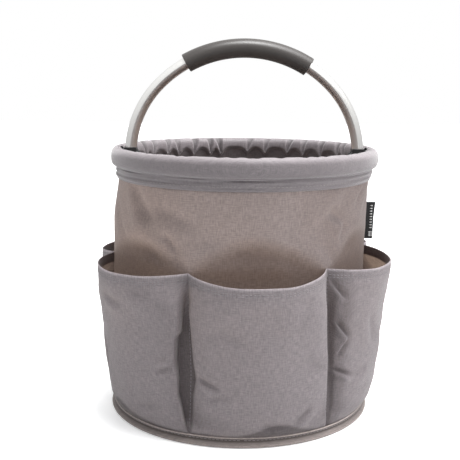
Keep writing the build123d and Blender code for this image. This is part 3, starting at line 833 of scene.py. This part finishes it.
def casing_tones(degrees, v):
    """Painted highlights on the puffs, folds and top, and painted shade in the pinches, as the edge and
    shade of the cloth.
    """
    degrees, v = np.broadcast_arrays(np.asarray(degrees, float), np.asarray(v, float))
    _, height, _ = casing_section(v)
    around = around_share(degrees)
    pinch, fold, puff_z = gathers(degrees, height)
    inner = 1 - smooth(0.36, 0.46, v)
    shade = inner * pinch * (0.30 + 0.55 * smooth(4, 8, height))
    top = smooth(0.38, 0.45, v) * (1 - smooth(0.49, 0.57, v))
    top = top * (0.85 + 0.15 * value_noise(around * 40, v, 57, 40))
    puffs = (0.24 + 0.34 * smooth(puff_z, puff_z + 5, height)) * (1 - pinch) + 0.34 * fold
    edge = inner * puffs + 0.95 * top
    return edge, shade


# The casing's opening round a ring connector: half its width and height, and how far inside the ring.
OPENING_HALF_WIDTH = 9.4 * MM
OPENING_HALF_HEIGHT = 9.0 * MM
OPENING_INSIDE = 3.2 * MM
# Where the rim's row of stitches runs on the casing, as v from its inner stitch line to its outer edge.
RIM_STITCH_V = 0.905

casing_v = np.linspace(0, 1, 92)[:, None]
casing_a = (np.arange(960) * 360 / 960)[None, :]
casing_points = settle(casing_surface(casing_a, casing_v))
casing_highlight, casing_shade = casing_tones(casing_a, casing_v)
quad = casing_points[:-1]
opening = np.abs(quad[..., 1]) < OPENING_HALF_WIDTH
opening &= np.abs(quad[..., 2] - pivot_z) < OPENING_HALF_HEIGHT
opening &= np.hypot(quad[..., 0], quad[..., 1]) < RING_R - OPENING_INSIDE
casing = sheet_object("cloth_rim_casing", casing_points, wrap=True, skip=opening,
                      edge=casing_highlight, shade=casing_shade)
dress(casing, cloth_casing, stands_for=("rim_casing",))

stitch_a = np.linspace(0, 1, 2400) * 360
outward = polar(stitch_a, 1.0, 0.0)
rim_line = settle(casing_surface(stitch_a, RIM_STITCH_V)) + outward * 0.05 * MM
rim_thread = stitches("rim_stitching", [(rim_line, outward)], length=3.1 * MM, gap=1.1 * MM)
dress(rim_thread, thread)

# ---- base
BINDING_SECTION = np.array([
    # radius and height of the folded tape's section, outside, going down and under, then up inside
    (142.5, 9.4), (143.0, 10.6), (143.9, 10.9), (144.7, 10.0), (144.0, 8.8), (142.9, 7.6), (142.9, 6.2),
    (144.6, 5.0), (146.2, 3.8), (146.8, 2.1), (146.0, 0.5), (143.6, 0.0), (140.6, 0.0), (138.2, 0.2),
    (137.2, 1.2), (137.0, 3.6), (137.1, 7.0), (137.2, 9.6), (137.6, 10.7), (138.4, 10.6),
    (138.6, 8.0), (138.8, 3.0), (139.6, 1.6), (141.4, 1.6), (142.2, 3.2), (142.3, 7.4),
]) * MM
BASE_STITCH_R, BASE_STITCH_Z = 144.2 * MM, 8.4 * MM

binding_a = np.arange(480) * 360 / 480
around = binding_a / 360
binding_rows = []
for radius, height in BINDING_SECTION:
    lift = np.clip(height / (8 * MM), 0, 1)
    sway = 0.55 * MM * value_noise(around * 22, 0 * around + 0.5, 61, 22) * lift
    rise = 0.9 * MM * value_noise(around * 20, 0 * around + 3.5, 67, 20) * lift * (radius > 140 * MM)
    binding_rows.append(polar(binding_a, radius + sway, height + rise))
# painted highlight at its upper fold and its foot, painted shade in the hollow between
binding_highlight = np.zeros((len(BINDING_SECTION), binding_a.size))
binding_highlight[1:4] = 0.9
binding_highlight[9] = 0.4
binding_shade = np.zeros_like(binding_highlight)
binding_shade[4:7] = 1.0
binding = sheet_object("tape_base_binding", settle(np.array(binding_rows)), wrap=True, closed=True,
                       edge=binding_highlight, shade=binding_shade)
dress(binding, tape, stands_for=("base_binding",))
rounding = binding.modifiers.new("round", "SUBSURF")
rounding.levels = rounding.render_levels = 1

base_line = settle(polar(stitch_a, BASE_STITCH_R, BASE_STITCH_Z))
binding_thread = stitches("base_stitching", [(base_line, outward)], length=3.1 * MM, gap=1.1 * MM)
dress(binding_thread, thread)


DISC_RINGS, DISC_SPOKES = 40, 180
disc_a = np.arange(DISC_SPOKES) * 360 / DISC_SPOKES


def disc_points(radius, z, crown, seed):
    """A round piece of cloth, slightly uneven, as a polar grid that starts just off its middle."""
    r = np.linspace(0.002, 1, DISC_RINGS)[:, None] * radius
    a = disc_a[None, :]
    x, y = r * np.cos(np.radians(a)), r * np.sin(np.radians(a))
    ripple = value_noise(x / (34 * MM), y / (34 * MM), seed) * 0.35 * MM
    edge_fade = 1 - smooth(0.86, 1.0, r / radius)
    return settle(polar(a, r, z + (crown + ripple) * edge_fade))


def disc_object(name, points):
    """A round piece of cloth from its polar grid, closed at its middle."""
    rings, spokes = points.shape[:2]
    faces = grid_faces(rings, spokes, wrap=True)
    faces.append(tuple(reversed(range(spokes))))
    return make_object(name, points, faces, points[..., :2])


lining_points = disc_points(lining_high[0], lining_high[2] - 0.3 * MM, 0.5 * MM, 71)
lining = disc_object("cloth_base_lining", lining_points)
dress(lining, cloth_floor, stands_for=("base_lining",))

# The base panel lies raised on its turned-down border, which goes down inside the binding.
panel_r = panel_high[0] - HALF_CLOTH
panel_rows = [disc_points(panel_r - 1.0 * MM, panel_low[2] + 10.1 * MM, 0.0, 73)]
for inset, height in ((0.3, 9.9), (0.0, 9.2), (0.0, 5.0), (0.0, 0.8)):
    panel_rows.append(settle(polar(disc_a, panel_r - inset * MM, panel_low[2] + height * MM))[None])
panel = disc_object("cloth_base_panel", np.concatenate(panel_rows))
dress(panel, cloth_floor, stands_for=("base_panel",))

# ---- side seams and label
# The seam tape's section: share of half its width, and millimetres inside the wall's cloth.
SEAM_TAPE = np.array([(-1, 0.4), (-0.96, 0.9), (-0.5, 1.15), (0, 1.3), (0.5, 1.15), (0.96, 0.9), (1, 0.4)])
for side_name, angle in (("left", -90), ("right", 90)):
    tape_low, tape_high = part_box(f"side_seam_tape_{side_name}")
    half = (tape_high[1] - tape_low[1]) / 2
    heights = np.linspace(tape_low[2], tape_high[2], 120)[:, None]
    offset = np.degrees(SEAM_TAPE[:, 0] * half / WALL_BASE_R)[None, :]
    surface = wall_surface(angle + offset, heights)
    inward = -polar(angle + offset, 1.0, 0 * heights) * np.array([1, 1, 0])
    ripple = 0.25 * value_noise(offset * 0.8, heights / (9 * MM), 81)[..., None]
    seam_tape = sheet_object(f"tape_side_seam_{side_name}",
                             surface + inward * (SEAM_TAPE[:, 1][None, :, None] + ripple) * MM)
    dress(seam_tape, tape, stands_for=(f"side_seam_tape_{side_name}",))

LABEL_ROWS, LABEL_STEPS = 34, 9
# Plain bars woven into both faces of the label: share of its height, then start and end across it.
LABEL_BARS = [(0.08 + 0.035 * k, 1.6, 8.2) for k in range(4)]
LABEL_BARS += [(0.30 + 0.075 * k, 2.6, 6.2) for k in range(9)]

# Each row goes out along one face of the folded label and back along the other.
out_and_back = np.concatenate([np.linspace(0, 1, LABEL_STEPS), np.linspace(1, 0, LABEL_STEPS)])
face_y = np.repeat([-0.45, 0.45], LABEL_STEPS) * MM
face_y[LABEL_STEPS - 1 : LABEL_STEPS + 1] *= 0.55
label_root = label_low[0] - 1.0 * MM
label_rows = []
for z in np.linspace(label_low[2], label_high[2], LABEL_ROWS):
    share = (z - label_low[2]) / (label_high[2] - label_low[2])
    curl = 1.1 * out_and_back**2 * math.sin(2.2 * share + 0.4) - 0.9 * out_and_back * share
    x = label_root + (label_high[0] - label_root) * out_and_back
    x = x + 0.8 * out_and_back * (share - 0.5) * MM
    label_rows.append(np.stack([x, curl * MM + face_y, np.full_like(x, z)], axis=-1))
label_points = settle(np.array(label_rows))
label = sheet_object("woven_side_label", label_points)
dress(label, label_cloth, stands_for=("side_label",))

bar_runs = []
for z_share, left, right in LABEL_BARS:
    z = label_low[2] + z_share * (label_high[2] - label_low[2])
    row = int(round(z_share * (LABEL_ROWS - 1)))
    for first, facing in ((0, -1.0), (LABEL_STEPS, 1.0)):
        face = label_points[row, first : first + LABEL_STEPS]
        order = np.argsort(face[:, 0])
        x = np.linspace(label_low[0] + left * MM, label_low[0] + right * MM, 12)
        y = np.interp(x, face[order, 0], face[order, 1]) + 0.12 * MM * facing
        line = np.stack([x, y, np.full_like(x, z)], axis=-1)
        bar_runs.append((line, np.tile([0.0, facing, 0.0], (len(x), 1))))
bars = stitches("label_woven_bars", bar_runs, length=3.0 * MM, gap=0.25 * MM, radius=0.42 * MM)
dress(bars, pale_thread)

# ---- CAD nodes that stay
repaint(tube_metal, "handle_tube")
repaint(foam, "handle_grip")
repaint(nylon, "handle_socket_left", "handle_socket_right", "ring_connector_left", "ring_connector_right")
repaint(ring_metal, "ring_front", "ring_rear")
repaint(black_steel, "pivot_rivet_left", "pivot_rivet_right", "pivot_washers")
repaint(steel, "ring_pins")
repaint(board_plastic, "base_board")

# ---- studio
scene = bpy.context.scene
scene.view_settings.view_transform = "Standard"

floor = make_object("floor", [(-6, -6, 0), (6, -6, 0), (6, 6, 0), (-6, 6, 0)], [(0, 1, 2, 3)])
floor_material, _, floor_shader = new_material("floor")
floor_shader["Base Color"].default_value = (0.93, 0.93, 0.93, 1)
floor_shader["Roughness"].default_value = 0.9
floor_shader["Emission Color"].default_value = (0.96, 0.98, 1.0, 1)
floor_shader["Emission Strength"].default_value = 0.26
floor.data.materials.append(floor_material)
floor.visible_glossy = False

world = bpy.data.worlds.new("studio")
scene.world = world
world.use_nodes = True
# Matt surfaces are lit mostly from above, shiny ones also from the sides; the camera sees white.
tree = NodeTree(world.node_tree)
light_path = tree.new("ShaderNodeLightPath").outputs
direction = tree.new("ShaderNodeSeparateXYZ")
tree.set(direction.inputs[0], tree.new("ShaderNodeTexCoord").outputs["Generated"])
overhead = tree.ranged(direction.outputs["Z"], 0.38, 1.2)
sideways = tree.ranged(direction.outputs["X"], 0.85, 1.2, -1.0, 1.0)
glow = tree.new("ShaderNodeMix")
tree.set(glow.inputs["Factor"], light_path["Is Glossy Ray"])
tree.set(glow.inputs["A"], tree.maths("MULTIPLY", overhead, sideways))
tree.set(glow.inputs["B"], tree.ranged(direction.outputs["Z"], 0.42, 1.12, -0.35, 0.65))
sky = tree.nodes["Background"]
backdrop = tree.new("ShaderNodeBackground")
for background in (sky, backdrop):
    background.inputs["Color"].default_value = (1.0, 1.0, 1.0, 1)
tree.set(sky.inputs["Strength"], glow.outputs["Result"])
seen = tree.new("ShaderNodeMixShader")
tree.set(seen.inputs["Fac"], light_path["Is Camera Ray"])
tree.set(seen.inputs[1], sky.outputs[0])
tree.set(seen.inputs[2], backdrop.outputs[0])
tree.set(tree.nodes["World Output"].inputs["Surface"], seen.outputs[0])


def area_light(name, place, target, size, power, glossy=True):
    """A soft light that faces a target, seen in reflections only where glossy is set."""
    data = bpy.data.lights.new(name, "AREA")
    data.shape = "RECTANGLE"
    data.size, data.size_y = size
    data.energy = power
    light = bpy.data.objects.new(name, data)
    light.location = place
    light.rotation_euler = (Vector(target) - Vector(place)).to_track_quat("-Z", "Y").to_euler()
    light.visible_glossy = glossy
    scene.collection.objects.link(light)


sun_data = bpy.data.lights.new("sun", "SUN")
sun_data.energy = 2.1
sun_data.angle = math.radians(50)
sun = bpy.data.objects.new("sun", sun_data)
sun.rotation_euler = Vector((-0.50, 0.07, -1.0)).to_track_quat("-Z", "Y").to_euler()
scene.collection.objects.link(sun)
area_light("back", (0.15, 0.95, 1.35), (0, 0, 0.3), (1.4, 0.8), 20, glossy=False)
area_light("right", (1.3, -0.35, 0.6), (0, 0, 0.12), (0.7, 1.0), 11, glossy=False)
area_light("top", (0.1, -0.20, 1.45), (0, 0.10, 0.28), (0.4, 0.4), 13)

# The camera's height and distance give the photograph's perspective.
CAMERA_PLACE = (-0.0150, -0.95528, 0.36778)
CAMERA_DOWN = 0.1764957
CAMERA_ROLL = math.radians(0.5)
FOCAL_PX, IMAGE_PX, SENSOR = 857.45, 460, 36.0
camera_data = bpy.data.cameras.new("camera")
camera_data.sensor_width = SENSOR
camera_data.lens = SENSOR * FOCAL_PX / IMAGE_PX
camera = bpy.data.objects.new("camera", camera_data)
camera.location = CAMERA_PLACE
camera.rotation_mode = "QUATERNION"
look = Vector((0, math.cos(CAMERA_DOWN), -math.sin(CAMERA_DOWN))).to_track_quat("-Z", "Y")
camera.rotation_quaternion = look @ Quaternion((0, 0, 1), CAMERA_ROLL)
scene.collection.objects.link(camera)
scene.camera = camera

bpy.context.view_layer.update()
